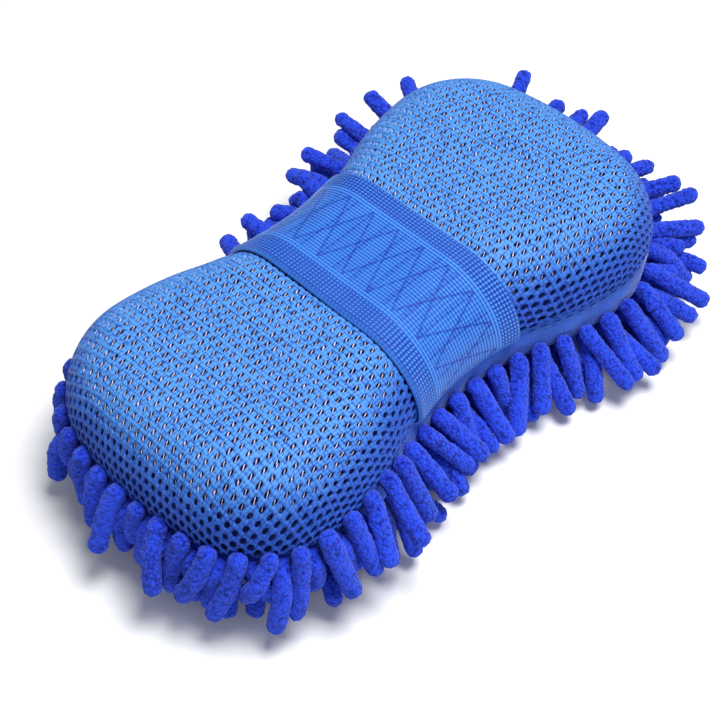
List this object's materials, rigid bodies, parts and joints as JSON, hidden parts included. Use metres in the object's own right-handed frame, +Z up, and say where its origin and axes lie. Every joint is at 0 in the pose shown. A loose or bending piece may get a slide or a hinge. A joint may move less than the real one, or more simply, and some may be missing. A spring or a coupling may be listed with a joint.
{
  "type": "wash mitt",
  "caption": "Waisted foam wash mitt in a net cover, with chenille noodles round its rim and under its sole and an elastic hand strap over its waist.",
  "frame": {"origin": "on the surface that the mitt lies on, under the middle of the pad", "axes": "+X along the pad's length, +Y across it to the strap's left end, +Z up through the strap"},
  "size_m": [0.2654, 0.1592, 0.0669],
  "materials": {
    "spacer_net": "matte",
    "side_cloth": "matte",
    "elastic": "matte",
    "chenille": "matte",
    "foam": "matte",
    "thread": "matte"
  },
  "bodies": {
    "root": {"base_cloth": "side_cloth", "foam_core": "foam", "fringe_lower_back": "chenille", "fringe_lower_front": "chenille", "fringe_lower_left": "chenille", "fringe_lower_right": "chenille", "fringe_middle_back": "chenille", "fringe_middle_front": "chenille", "fringe_middle_left": "chenille", "fringe_middle_right": "chenille", "fringe_upper_back": "chenille", "fringe_upper_front": "chenille", "fringe_upper_left": "chenille", "fringe_upper_right": "chenille", "hem_stitches": "thread", "net_cover": "spacer_net", "sole_row_1": "chenille", "sole_row_2": "chenille", "sole_row_3": "chenille", "sole_row_4": "chenille", "sole_row_5": "chenille", "sole_row_6": "chenille", "sole_row_7": "chenille", "sole_stitches": "thread", "strap_end_left": "elastic", "strap_end_left_stitches": "thread", "strap_end_right": "elastic", "strap_end_right_stitches": "thread"},
    "strap": {"hand_strap": "elastic"}
  },
  "joints": [
    {"name": "strap_lift", "type": "slide", "parent": "root", "child": "strap", "axis": [0, 0, 1], "range_m": [0, 0.03], "stiffness_N_per_m": 120}
  ]
}
